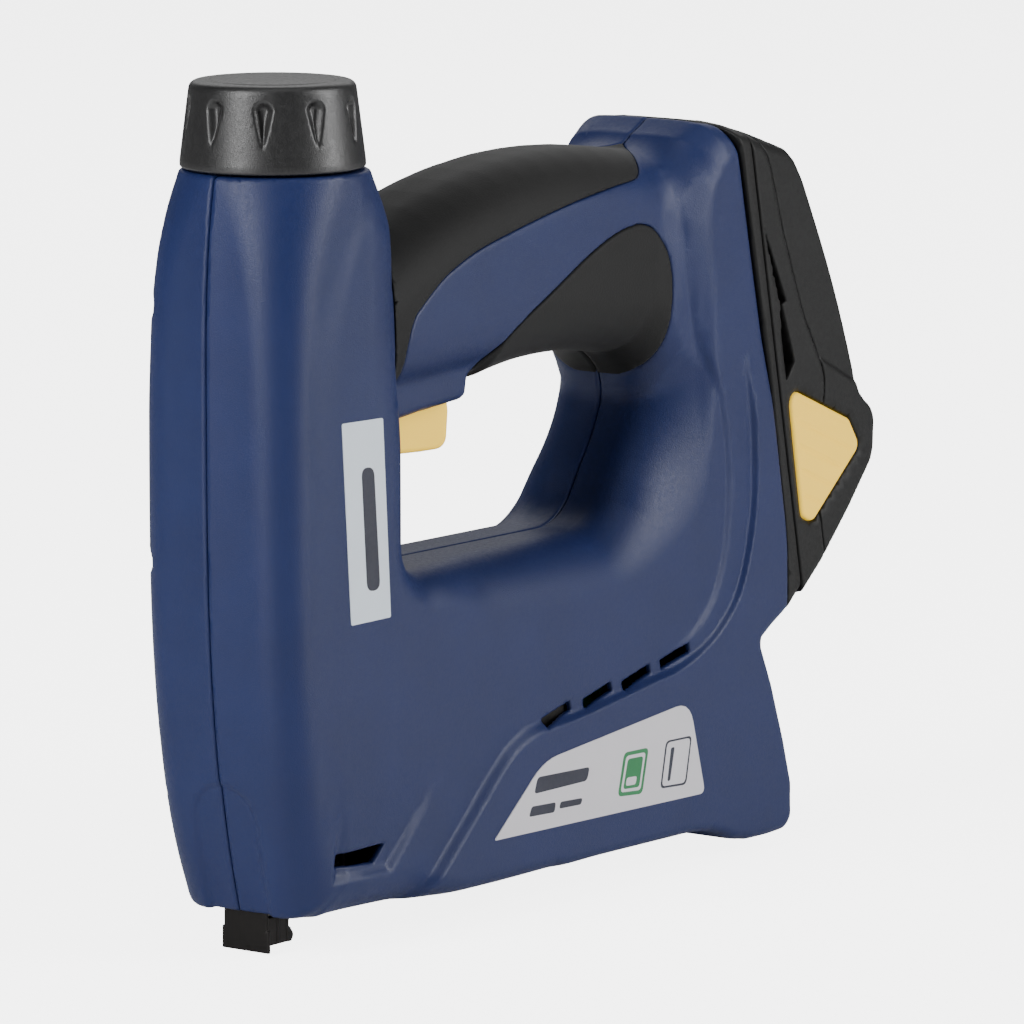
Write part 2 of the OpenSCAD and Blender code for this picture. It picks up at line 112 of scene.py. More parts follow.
def polygon(points, x, z):
    """Signed distance to a closed outline, negative inside."""
    pts = np.array(points, np.float32)
    nearest = None
    inside = None
    for a, b in zip(pts, np.roll(pts, -1, axis=0)):
        e = b - a
        wx = x - a[0]
        wz = z - a[1]
        h = np.clip((wx * e[0] + wz * e[1]) / max(float(e @ e), 1e-9), 0, 1)
        d = (wx - h * e[0]) ** 2 + (wz - h * e[1]) ** 2
        crosses = ((a[1] <= z) & (b[1] > z)) | ((b[1] <= z) & (a[1] > z))
        side = crosses & (wx < e[0] * wz / (e[1] if abs(e[1]) > 1e-9 else 1e-9))
        nearest = d if nearest is None else np.minimum(nearest, d)
        inside = side if inside is None else inside ^ side
    d = np.sqrt(nearest)
    return np.where(inside, -d, d).astype(np.float32)


def curve(points, n):
    """Points along a smooth line through the given ones."""
    p = np.array(points, float)
    p = np.vstack([2 * p[0] - p[1], p, 2 * p[-1] - p[-2]])
    out = []
    for i in range(1, len(p) - 2):
        for t in np.arange(n) / n:
            out.append(0.5 * ((2 * p[i]) + (p[i + 1] - p[i - 1]) * t
                              + (2 * p[i - 1] - 5 * p[i] + 4 * p[i + 1] - p[i + 2]) * t ** 2
                              + (3 * p[i] - p[i - 1] - 3 * p[i + 1] + p[i + 2]) * t ** 3))
    out.append(p[-2])
    return [tuple(q) for q in out]


def arc(cx, cz, r, a0, a1, n=10):
    """Points on a circle from angle a0 to a1, in degrees."""
    angles = np.radians(np.linspace(a0, a1, n + 1))
    return [(cx + r * math.cos(a), cz + r * math.sin(a)) for a in angles]


def table(at, places, values, blur):
    """Values between the given places, with the corners smoothed over the length blur."""
    s = np.linspace(places[0] - 30, places[-1] + 30, 600)
    v = np.interp(s, places, values)
    w = np.exp(-0.5 * (np.arange(-90, 91) * (s[1] - s[0]) / blur) ** 2)
    v = np.convolve(np.pad(v, 90, mode="edge"), w / w.sum(), mode="valid")
    return np.interp(at, s, v).astype(np.float32)


def extrude(d, half, y, r_in, r_out):
    """Field of an outline d extruded to +-half, its edges rounded r_in by r_out."""
    u = np.maximum(d / r_in + 1, 0)
    v = np.maximum((np.abs(y) - half) / r_out + 1, 0)
    return (np.sqrt(u * u + v * v) - 1) * np.minimum(r_in, r_out)


def dock_t(x, z):
    """Distance out from the dock's face."""
    return (x - DOCK_BASE[0]) * math.cos(TILT) + (z - DOCK_BASE[1]) * math.sin(TILT)


def dock_s(x, z):
    """Height along the dock's face."""
    return -(x - DOCK_BASE[0]) * math.sin(TILT) + (z - DOCK_BASE[1]) * math.cos(TILT)


# ---------------------------------------------------------------------------
# Meshing
# ---------------------------------------------------------------------------
def axes(lo, hi, h):
    """Grid coordinates from lo to hi at the spacing h."""
    x = np.arange(lo[0], hi[0] + h, h, dtype=np.float32)[:, None, None]
    y = np.arange(lo[1], hi[1] + h, h, dtype=np.float32)[None, :, None]
    z = np.arange(lo[2], hi[2] + h, h, dtype=np.float32)[None, None, :]
    return x, y, z


def sample(values, at):
    """Trilinear samples of a grid at fractional index positions."""
    top = np.array(values.shape) - 1.001
    at = np.clip(at, 0, top)
    i = at.astype(int)
    f = at - i
    out = 0
    for dx in (0, 1):
        for dy in (0, 1):
            for dz in (0, 1):
                w = (f[:, 0] if dx else 1 - f[:, 0]) * (f[:, 1] if dy else 1 - f[:, 1])
                w = w * (f[:, 2] if dz else 1 - f[:, 2])
                out = out + w * values[i[:, 0] + dx, i[:, 1] + dy, i[:, 2] + dz]
    return out


def add_object(name, data):
    o = bpy.data.objects.new(name, data)
    bpy.context.scene.collection.objects.link(o)
    return o


def build(name, values, lo, h, adaptivity, to_design=None):
    """A mesh object of the field's zero surface, shaded with the field's own gradient."""
    band = 4 * h
    values = np.ascontiguousarray(np.clip(values, -band, band), dtype=np.float32)
    grid = openvdb.FloatGrid()
    grid.background = band
    grid.copyFromArray(values)
    points, tris, quads = grid.convertToPolygons(isovalue=0.0, adaptivity=adaptivity)
    points = points.astype(float)
    reach = 0.6
    normals = np.stack([sample(values, points + d) - sample(values, points - d)
                        for d in np.eye(3) * reach], axis=1)
    normals /= np.maximum(np.linalg.norm(normals, axis=1), 1e-9)[:, None]
    points = points * h + np.array(lo)
    if to_design is not None:
        points, normals = to_design(points, normals)
    faces = [tuple(f) for f in quads.tolist()] + [tuple(f) for f in tris.tolist()]
    world = (points - [MID_X, 0, 0]) * MM
    mesh = bpy.data.meshes.new(name)
    mesh.from_pydata(world.tolist(), [], faces)
    mesh.update()
    face_n = np.zeros(len(mesh.polygons) * 3)
    mesh.polygons.foreach_get("normal", face_n)
    first = np.array([f[0] for f in faces])
    if np.sum(face_n.reshape(-1, 3) * normals[first]) < 0:
        mesh.flip_normals()
    mesh.shade_smooth()
    mesh.normals_split_custom_set_from_vertices(normals.tolist())
    print("piece", name, len(mesh.vertices), "vertices", len(mesh.polygons), "faces")
    return add_object(name, mesh)


def from_dock(points, normals):
    """Dock frame (t, y, s) to the design frame."""
    c = math.cos(TILT)
    s = math.sin(TILT)

    def turned(v):
        return np.stack([v[:, 0] * c - v[:, 2] * s, v[:, 1], v[:, 0] * s + v[:, 2] * c], axis=1)

    return turned(points) + [DOCK_BASE[0], 0, DOCK_BASE[1]], turned(normals)


# ---------------------------------------------------------------------------
# Materials
# ---------------------------------------------------------------------------
def new_material(name):
    m = bpy.data.materials.new(name)
    m.use_nodes = True
    tree = m.node_tree
    shader = tree.nodes["Principled BSDF"]
    return m, tree, shader


def noise(tree, scale, detail=2.0, roughness=0.5):
    n = tree.nodes.new("ShaderNodeTexNoise")
    n.inputs["Scale"].default_value = scale
    n.inputs["Detail"].default_value = detail
    n.inputs["Roughness"].default_value = roughness
    coords = tree.nodes.new("ShaderNodeTexCoord")
    tree.links.new(coords.outputs["Object"], n.inputs["Vector"])
    return n


def ramp(tree, source, stops):
    r = tree.nodes.new("ShaderNodeValToRGB")
    r.color_ramp.elements[0].position = stops[0][0]
    r.color_ramp.elements[0].color = (*stops[0][1], 1)
    r.color_ramp.elements[1].position = stops[-1][0]
    r.color_ramp.elements[1].color = (*stops[-1][1], 1)
    for place, colour in stops[1:-1]:
        r.color_ramp.elements.new(place).color = (*colour, 1)
    tree.links.new(source, r.inputs["Fac"])
    return r


def bump(tree, shader, height, strength, distance, under=None):
    b = tree.nodes.new("ShaderNodeBump")
    b.inputs["Strength"].default_value = strength
    b.inputs["Distance"].default_value = distance
    tree.links.new(height, b.inputs["Height"])
    if under is not None:
        tree.links.new(under, b.inputs["Normal"])
    tree.links.new(b.outputs["Normal"], shader.inputs["Normal"])
    return b.outputs["Normal"]


def plastic(name, colour, rough, grain=2600.0, strength=0.25, vary=0.12, specular=0.5):
    """Moulded plastic: a spark-eroded grain, a faint mottling and slightly uneven gloss."""
    m, tree, shader = new_material(name)
    dark = tuple(c * (1 - vary) for c in colour)
    light = tuple(c * (1 + vary) for c in colour)
    mottle = noise(tree, 55.0, 3.0)
    tone = ramp(tree, mottle.outputs["Fac"], [(0.3, dark), (0.7, light)])
    tree.links.new(tone.outputs["Color"], shader.inputs["Base Color"])
    gloss = noise(tree, 900.0, 2.0)
    spread = ramp(tree, gloss.outputs["Fac"],
                  [(0.25, (rough - 0.05,) * 3), (0.75, (rough + 0.07,) * 3)])
    tree.links.new(spread.outputs["Color"], shader.inputs["Roughness"])
    shader.inputs["Specular IOR Level"].default_value = specular
    fine = noise(tree, grain, 3.0, 0.65)
    bump(tree, shader, fine.outputs["Fac"], strength, 0.0002)
    return m


def rubber(name, colour, rough):
    """Soft grip rubber: dull, with a sheen and a fine leathery grain."""
    m, tree, shader = new_material(name)
    patch = noise(tree, 30.0, 3.0)
    tone = ramp(tree, patch.outputs["Fac"],
                [(0.3, tuple(c * 0.85 for c in colour)), (0.7, tuple(c * 1.15 for c in colour))])
    tree.links.new(tone.outputs["Color"], shader.inputs["Base Color"])
    shader.inputs["Roughness"].default_value = rough
    shader.inputs["Specular IOR Level"].default_value = 0.25
    shader.inputs["Sheen Weight"].default_value = 0.05
    shader.inputs["Sheen Roughness"].default_value = 0.5
    cells = tree.nodes.new("ShaderNodeTexVoronoi")
    cells.inputs["Scale"].default_value = 1700.0
    coords = tree.nodes.new("ShaderNodeTexCoord")
    tree.links.new(coords.outputs["Object"], cells.inputs["Vector"])
    fine = noise(tree, 3200.0, 2.0, 0.6)
    first = bump(tree, shader, cells.outputs["Distance"], 0.12, 0.0002)
    bump(tree, shader, fine.outputs["Fac"], 0.2, 0.00015, first)
    return m


def metal(name, colour, rough, brushed=(1, 1, 1), strength=0.08, wear=0.12):
    """Machined or drawn metal: scratches along one direction and uneven roughness."""
    m, tree, shader = new_material(name)
    shader.inputs["Metallic"].default_value = 1.0
    coords = tree.nodes.new("ShaderNodeTexCoord")
    stretch = tree.nodes.new("ShaderNodeMapping")
    stretch.inputs["Scale"].default_value = brushed
    tree.links.new(coords.outputs["Object"], stretch.inputs["Vector"])
    lines = tree.nodes.new("ShaderNodeTexNoise")
    lines.inputs["Scale"].default_value = 700.0
    lines.inputs["Detail"].default_value = 4.0
    tree.links.new(stretch.outputs["Vector"], lines.inputs["Vector"])
    patch = noise(tree, 60.0, 4.0)
    tone = ramp(tree, patch.outputs["Fac"],
                [(0.3, tuple(c * (1 - wear) for c in colour)), (0.7, colour)])
    tree.links.new(tone.outputs["Color"], shader.inputs["Base Color"])
    gloss = ramp(tree, lines.outputs["Fac"],
                 [(0.3, (rough * 0.8,) * 3), (0.7, (rough * 1.25,) * 3)])
    tree.links.new(gloss.outputs["Color"], shader.inputs["Roughness"])
    bump(tree, shader, lines.outputs["Fac"], strength, 0.0001)
    return m


BLUE = plastic("shell_blue_plastic", (0.010, 0.020, 0.090), 0.43,
               strength=0.34, vary=0.06, specular=0.40)
GRIP = rubber("grip_rubber", (0.0085, 0.0085, 0.0085), 0.62)
KNOB = plastic("knob_plastic", (0.012, 0.012, 0.0125), 0.37, strength=0.3, specular=0.75)
PACK = plastic("pack_plastic", (0.0075, 0.0075, 0.0075), 0.52, strength=0.32, specular=0.32)
NOSE = metal("black_oxide_steel", (0.035, 0.033, 0.032), 0.45, (1, 1, 0.1), 0.15)
YELLOW = plastic("accent_plastic_painted_glow", (0.97, 0.62, 0.07), 0.45,
                 grain=2000.0, strength=0.12, vary=0.03, specular=0.3)
# painted glow: the accent parts give off light of their own, on top of what the lamps give them
accent_glow_shader = YELLOW.node_tree.nodes["Principled BSDF"]
accent_glow_shader.inputs["Emission Color"].default_value = (1, 0.64, 0.04, 1)
accent_glow_shader.inputs["Emission Strength"].default_value = 0.60
LABEL = plastic("label_film", (0.72, 0.70, 0.74), 0.38, grain=900.0, strength=0.03, vary=0.02)
BADGE = plastic("badge_print", (0.80, 0.88, 0.97), 0.38, grain=900.0, strength=0.03, vary=0.02)
INK = plastic("print_ink", (0.02, 0.022, 0.04), 0.45, grain=900.0, strength=0.02)
GREEN = plastic("print_green", (0.02, 0.22, 0.07), 0.42, grain=900.0, strength=0.02)
STEEL = metal("bright_steel", (0.62, 0.62, 0.63), 0.26, (1, 1, 0.06))
STEEL_X = metal("rolled_steel", (0.56, 0.56, 0.57), 0.32, (0.05, 1, 1))
ZINC = metal("zinc_plate", (0.55, 0.57, 0.60), 0.38, (1, 1, 1), 0.05, 0.25)
BRASS = metal("contact_brass", (0.78, 0.57, 0.26), 0.25, (1, 1, 0.1))
HARD = metal("hardened_steel", (0.30, 0.29, 0.29), 0.33, (1, 1, 0.1), 0.1, 0.2)
RED = plastic("button_red_plastic", (0.45, 0.03, 0.02), 0.35, strength=0.1)
DARK = plastic("dark_plastic", (0.03, 0.03, 0.032), 0.45)
RUBBER = rubber("bumper_rubber", (0.018, 0.017, 0.016), 0.75)
BOARD = plastic("board_lacquer", (0.006, 0.05, 0.018), 0.3, grain=600.0, strength=0.2, vary=0.25)
CELL = plastic("cell_sleeve", (0.02, 0.22, 0.26), 0.28, grain=300.0, strength=0.05)


def finish_piece(o, material, body, slot, *nodes):
    o.data.materials.append(material)
    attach(o, body)
    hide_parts(*nodes)


# ---------------------------------------------------------------------------
# Outer form of the housing
# ---------------------------------------------------------------------------
BOW_X = 27.0          # how far forward the column's front bows
BOW_Z = 137.0         # and at what height
BASE_X = 15.4         # the same at its foot


def front_x(z):
    """Place of the column's front at each height."""
    low = -BOW_X + (BOW_X - BASE_X) * (np.maximum(BOW_Z - z, 0) / (BOW_Z - COL_FOOT)) ** 3.1
    high = -BOW_X + (BOW_X - COL_R) * (np.maximum(z - BOW_Z, 0) / (COL_TOP - BOW_Z)) ** 3
    return np.where(z < BOW_Z, low, high)


def handle_top(x):
    """Height of the handle's arched top."""
    crest = 189.7
    radius = 195
    return crest - radius + np.sqrt(radius ** 2 - (x - 104) ** 2)


PANEL_FRONT = [(-7.5, COL_FOOT), (-11.5, 22), (-15.5, 40), (-19.5, 64), (-21.2, 100), (-20.5, 150),
               (-16, 164), (-9, 177), (0, 187), (8, 191.5)]
BODY = curve(PANEL_FRONT, 5) + [(20, 191.5), (26.6, 181), (27.6, 172)]
BODY += arc(34.6, 98.2, 7, 180, 270) + arc(107.6, 108.8, 17.6, -90, -38)
BODY += curve([(125.5, 104.4), (130.3, 111.4), (134.2, 118.8), (136.6, 126.6), (137.2, 136),
               (136.8, 150)], 3)
BODY += [(139.3, 170), (142.6, 181.2), (148.6, 189.6), (155.4, 193.4)]
BODY += [(176, 193.5), (197, 70.0), (184.4, 62.1), (178, 58.9), (172.9, 55.9), (172.8, 54.0),
         (173.6, 52.2), (177.4, 43.8), (183.0, 28.2), (186.6, 16.0)]
BODY += arc(181.6, 8.4, 5.2, 10, -80, 8)
BODY += [(175.5, 2.9), (167, 3.0), (159.6, 4.2), (153.8, 6.6), (149, 8.0), (140, 8.8), (100, 8.9),
         (60, 8.5), (20, 8.8)]
HANDLE = [(6, 134), (40, 135.2), (64.5, 136.6)] + arc(98, -22.2, 160, 101, 82)
HANDLE += [(127, 135.2), (134, 131), (139, 126.5), (152, 128), (152, 183)]
HANDLE += [(x, float(handle_top(x))) for x in np.linspace(148, 6, 16)]
GUARD = [(12, 124.4), (28, 127), (44, 128.8), (56, 129.6), (60.6, 130.1), (62.4, 131.4), (63.2, 136.0)]
GUARD += [(72, 142), (72, 160), (12, 160)]
# edge of the raised frame and label panel
S_CURVE = curve([(157.5, 200), (158, 186), (161, 156), (164.6, 136.3), (168.2, 120), (169.5, 107.7),
                 (169.5, 94.4), (166.9, 80.6), (162.0, 68.9), (153.9, 60.9), (144.9, 55.9),
                 (134.6, 52.6), (124.4, 51.2), (109, 48.9), (94.2, 46.8), (81, 45.3), (73.5, 44.4),
                 (67.5, 42.4), (60.5, 38), (46, 24.8), (31, 11.2), (20, 1), (10, -8)], 12)
# soft ridge inside the frame
RIDGE = curve([(136, 200), (138.5, 192), (140.5, 184), (142.2, 175), (144.4, 164.4),
               (146.3, 151.3), (149, 140.6), (152.6, 132), (156.3, 124), (159.3, 112), (160.5, 100),
               (160.2, 90), (158.5, 80), (155, 71), (150.5, 65), (143, 59.5), (132, 55)], 12)
RIDGE += [(110, 60), (100, 100), (100, 200)]
MAIN = S_CURVE + [(-80, -20), (-80, 240), (157, 240)]
# middles of the vent slots, and the slots' slant and half sizes
VENTS = [(135.3, 56.3), (118.6, 53.0), (101.8, 50.7), (84.1, 48.2)]
VENT_SLANT = math.radians(14)
VENT_HALF = (6.2, 1.25)
SCREWS = [(-19.6, 160), (-20.6, 97), (32, 163), (102, 158), (150, 174), (152, 112), (154, 44),
          (103, 36), (103, 83)]
BOSS_R = 3.4
SCREW_HEAD_R = 3.1
SCREW_SEAT_Y = 9.4


def dock_reach(s, ay):
    """How far the housing's side edges lap over the dock frame at height s along it."""
    lap = table(s, [-6, 4, 14, 60, 97, 120, 127], [0.3, 2.6, 4.0, 4.6, 3.8, 3.6, 2.4], 4)
    return lap * step(ay, 14, 20)


# the column's half-width and corner radius at some heights
COLUMN_Z = [COL_FOOT, 23, 36, 61, 87, 137, 161, 174, 186, COL_TOP]
COLUMN_HALF = [22.2, 23.1, 23.5, 23.9, 24.1, 24.1, 24.1, 24.1, 24.0, 23.4]
COLUMN_CORNER = [13, 11.5, 10.5, 10, 10, 10.5, 12.5, 15, 19.5, 23.2]
ARCH_HALF = 9.6       # arch-topped relief at the nose
ARCH_Z = 33.5
ARCH_DEPTH = 0.75


def column_field(x, y, z):
    """The upright column: a rounded box at each height, round at the top."""
    ay = np.abs(y)
    wide = table(z, COLUMN_Z, COLUMN_HALF, 3)
    corner = table(z, COLUMN_Z, COLUMN_CORNER, 3)
    back = table(z, [COL_FOOT, 160, 176, 182, COL_TOP], [26.4, 27.2, 27.2, 26.4, COL_R], 2.5)
    back_corner = table(z, [COL_FOOT, 115, 160, 180, 188, COL_TOP],
                        [11, 12.5, 16.5, 17.5, 20, 23.2], 4)
    # the front is a little crowned
    front = front_x(z) + 1.15 * (1 - np.exp(-np.sqrt(y * y + 0.3) / 7.0))
    mid = (front + back) / 2
    reach = (back - front) / 2
    r = back_corner + (corner - back_corner) * step(x, 3, -5)
    qx = np.abs(x - mid) - reach + r
    qy = ay - wide + r
    column = np.sqrt(np.maximum(qx, 0) ** 2 + np.maximum(qy, 0) ** 2) - r
    column = column + np.minimum(np.maximum(qx, qy), 0)
    column = smooth_max(column, z - COL_TOP, 1.2)
    # lower edge, rounder behind the nose
    under = COL_FOOT - z
    r_low = 1.2 + 8.3 * step(x, -14, -2)
    edge = np.sqrt(np.maximum(column + r_low, 0) ** 2 + np.maximum(under + r_low, 0) ** 2)
    column = edge + np.minimum(np.maximum(column, under) + r_low, 0) - r_low
    arch = np.sqrt(np.maximum(z - ARCH_Z, 0) ** 2 + y * y) - ARCH_HALF
    return column + ARCH_DEPTH * step(arch, 1.0, -1.0) * step(x, 0, -8) * step(z, 60, 50)


def side_half(x, z, main):
    """Half-width of the sides: a soft ridge, and the frame and label panel standing proud."""
    ridge = polygon(RIDGE, x, z)
    bevel = 1.5 + 1.8 * step(x, 92, 70)
    raised = step(main, -bevel, np.float32(0.2)) * (1 - step(z, 112, 138) * step(x, 148, 156))
    ridge_on = step(x, 128, 150)
    strip = 0.8 * step(ridge, -3.0, -0.6) * ridge_on
    strip = strip + 0.5 * np.exp(-((ridge + 6.2) / 1.5) ** 2) * step(z, 128, 150) * ridge_on
    return HALF_MAIN + strip + (HALF_FRAME - HALF_MAIN - strip) * raised


def edge_radii(x, z, main):
    """How far the body's edges are rounded, in from its outline and in from its sides."""
    behind = step(x, 70, 45) * step(x, 2, 14)
    r_back = 12.0 + 6.5 * step(z, 120, 165)
    at_loop = np.exp(-((x - 143) / 18) ** 2 - (np.maximum(np.abs(z - 120) - 22, 0) / 16) ** 2)
    round_loop = step(z, 52, 72) * step(x, 36, 60) * (1 - 0.8 * step(z, 122, 150))
    r_in = 10.0 + 6.0 * step(x, 8, -6) + 4.5 * round_loop + 11.0 * at_loop
    r_in = r_in + (r_back - r_in) * behind * step(z, 80, 100)
    r_out = 10.5 - 3.0 * step(x, 8, -6) + 5.5 * round_loop + 3.0 * at_loop
    r_out = r_out + (r_back - r_out) * behind * step(z, 80, 100)
    # the heel and the dock side have tighter edges
    heel = np.maximum(step(x, 148, 166), step(main, -6, 3) * step(x, 60, 90) * step(z, 30, 12))
    heel = np.maximum(heel * (1 - 0.3 * step(z, 168, 184)), 0.8 * step(x, 20, 45) * step(z, 30, 12))
    tight = 2.6 + 2.0 * step(z, 50, 90)
    r_in = r_in + (tight - r_in) * heel
    r_out = r_out + (tight - r_out) * heel
    return r_in, r_out


def outer_field(x, y, z):
    """The whole body with every edge blended, and the column alone."""
    ay = np.abs(y)
    main = polygon(MAIN, x, z)
    half = side_half(x, z, main)
    r_in, r_out = edge_radii(x, z, main)
    crown = 3.6 * (ay / 26) ** 4 * step(z, 174, 188) * step(x, 110, 140)
    body = polygon(BODY, x, z) + crown * 0.9
    panel = extrude(body, half, y, r_in, r_out)
    t = dock_t(x, z)
    reach_t = dock_reach(dock_s(x, z), ay)
    panel = smooth_max(panel, t - reach_t, 2.0)
    column = column_field(x, y, z)
    whole = smooth_min(column, panel, 1.2)
    # handle and the guard in front of the trigger
    grip = extrude(polygon(HANDLE, x, z), np.float32(20.6), y, 16.0, 16.5)
    guard = extrude(polygon(GUARD, x, z), np.float32(13.5), y, 3.2, 5.0)
    grip = smooth_min(grip, guard, 1.6)
    whole = smooth_min(whole, grip, 1.6 + 6.4 * step(x, 50, 115))
    # the handle's blend ends at the dock too
    return smooth_max(whole, t - reach_t, 1.4), column


# outlines of the soft grips: over the handle, and the leaf under it on each side
TOP_ZONE = [(8, 132)]
TOP_ZONE += curve([(30.8, 137.4), (28.7, 143), (28.2, 148.5), (30.4, 154.2), (33.4, 157.1), (42, 163.1),
                   (50.7, 167), (59.4, 169.8), (72.7, 172.8), (86.2, 175.5), (99.9, 177.8),
                   (114.6, 179.6), (124.5, 180.4), (134, 180.8)], 5)
TOP_ZONE += [(160, 181.6), (160, 200), (8, 200)]
LEAF_ZONE = curve([(63.6, 132), (64.6, 139.6), (69.5, 145.4), (77.1, 150.6), (85.8, 155), (94.7, 159.5),
                   (101.5, 162.9), (108.2, 165.8), (115.5, 168.3), (121.9, 169.5), (126.4, 169.5),
                   (131.3, 167.8), (135.6, 163.3), (137.6, 157.9), (138.2, 151.4), (137.9, 144.6),
                   (137.4, 138.7), (136.3, 133.3), (134.9, 130), (134.5, 127.4)], 6)
LEAF_ZONE += [(131, 124), (120, 118), (100, 112), (64, 125)]
WINDOW = [(-4.2, 25.4), (14.4, 25.6), (10.2, 21.4), (-4.9, 22.3)]
WINDOW_RAMP = [(-7, 50), (47, 50), (15.4, 18.4), (-5.6, 18.6)]


def vent_slot(x, z, middle):
    """Outline of one slanting vent slot."""
    c = math.cos(VENT_SLANT)
    s = math.sin(VENT_SLANT)
    along = np.abs((x - middle[0]) * c + (z - middle[1]) * s) - VENT_HALF[0]
    across = np.abs(-(x - middle[0]) * s + (z - middle[1]) * c) - VENT_HALF[1]
    return np.maximum(along, across)


def housing_fields(x, y, z):
    """Left half, right half, top grip and lower grip, each on the side of positive y."""
    outer, column = outer_field(x, y, z)
    top = polygon(TOP_ZONE, x, z)
    leaf = polygon(LEAF_ZONE, x, z)
    # the top grip starts where the handle leaves the column and ends in a swept tip at the neck
    zone_top = np.maximum(top, 0.35 - column)
    zone_top = smooth_max(zone_top, (x + 0.93 * np.abs(y) - 145.6) * 0.73, 3.0)
    inner = outer + WALL
    skin = outer + GRIP_T
    groove = 0.14
    # the shell turns in a little at the edge of each grip
    lip = 0.12 * np.exp(-(np.minimum(np.abs(top), np.abs(leaf)) / 0.8) ** 2)
    grip_top = smooth_max(smooth_max(outer - 0.1, zone_top + groove, 0.9), -skin, 0.3)
    grip_leaf = smooth_max(smooth_max(outer - 0.1, leaf + groove, 0.9), -skin, 0.3)
    taken = np.minimum(np.maximum(zone_top, -skin), np.maximum(leaf, -skin))
    shell = np.maximum(outer + lip, -inner)
    bosses = union(*[disc(x, z, place, BOSS_R) for place in SCREWS])
    bosses = np.maximum(bosses, outer + 1.2)
    backing = overlap(-(outer + WALL + GRIP_T), outer + GRIP_T, np.minimum(zone_top, leaf) - 2.5)
    shell = union(shell, bosses, backing)
    shell = smooth_max(shell, -taken - groove, 0.5)
    # openings common to both halves
    vents = union(*[vent_slot(x, z, middle) for middle in VENTS])
    shell = smooth_max(shell, -vents, 0.5)

    def slot(x0, x1, half, z0, z1):
        return overlap(between(x, x0, x1), np.abs(y) - half, between(z, z0, z1))

    nose_slot = slot(-12.9, 0.6, 8.0, -5, 20)
    magazine_slot = slot(150, 200, 9.7, 10.9, 28.7)
    trigger_slot = slot(28.0, 63.3, 7.4, 124, 144)
    spindle_hole = np.maximum(disc(x, y, (0, 0), 9.1), 180 - z)
    shell = smooth_max(shell, -nose_slot, 0.4)
    shell = smooth_max(shell, -magazine_slot, 0.6)
    shell = smooth_max(shell, -trigger_slot, 0.6)
    shell = np.maximum(shell, -spindle_hole)
    # left half: staple window with its sloping surround
    window = polygon(WINDOW, x, z)
    slope = polygon(WINDOW_RAMP, x, z)
    sunk = 1.5 * step(z, 48, 19) * step(slope, 1.2, -2.4) * step(x, -13, -5)
    backed = overlap(outer + sunk, -(outer + sunk + WALL), between(x, -13, 50), between(z, 14, 52))
    left = np.minimum(shell, backed)
    left = smooth_max(left, outer + sunk, 0.5)
    left = smooth_max(left, -np.maximum(window, 6 - y), 0.4)
    # right half: screw recesses
    right = shell
    for place in SCREWS:
        head = np.maximum(disc(x, z, place, SCREW_HEAD_R), SCREW_SEAT_Y - y)
        right = smooth_max(right, -head, 0.4)
        right = np.maximum(right, -disc(x, z, place, SCREW_HOLE_R))
    # each half ends at the parting plane with a small rounded edge
    seam_edge = 0.8
    left = smooth_max(left, -y, seam_edge)
    right = smooth_max(right, -y, seam_edge)
    return left, right, grip_top, smooth_max(grip_leaf, -y, 0.5)


def mirrored(points, normals):
    return points * [1, -1, 1], normals * [1, -1, 1]


def housing_and_grips():
    h = HOUSING_STEP
    lo = (-29.5, -1.5, -1.0)
    hi = (186.8, 27.6, 195.0)
    adapt = 0.08
    x, y, z = axes(lo, hi, h)
    left, right, grip_top, leaf_half = housing_fields(x, y, z)
    o = build("housing_left_shell", left, lo, h, adapt, mirrored)
    finish_piece(o, BLUE, "body", "shell_blue", "housing_left")
    o = build("housing_right_shell", right, lo, h, adapt)
    finish_piece(o, BLUE, "body", "shell_blue", "housing_right")
    o = build("grip_lower_left_pad", leaf_half, lo, h, 0.05, mirrored)
    finish_piece(o, GRIP, "body", "grip_black", "grip_lower_left")
    o = build("grip_lower_right_pad", leaf_half, lo, h, 0.05)
    finish_piece(o, GRIP, "body", "grip_black", "grip_lower_right")
    # the top grip is one piece: its half and its mirror image, with the middle row kept once
    start = int(round(-lo[1] / h))
    first = start + 1 if abs(float(y[0, start, 0])) < 1e-6 else start
    both = np.concatenate([grip_top[:, first:, :][:, ::-1, :], grip_top[:, start:, :]], axis=1)
    low_y = -float(y[0, -1, 0])
    o = build("grip_top_pad", both, (lo[0], low_y, lo[2]), h, 0.05)
    finish_piece(o, GRIP, "body", "grip_black", "grip_top")


housing_and_grips()

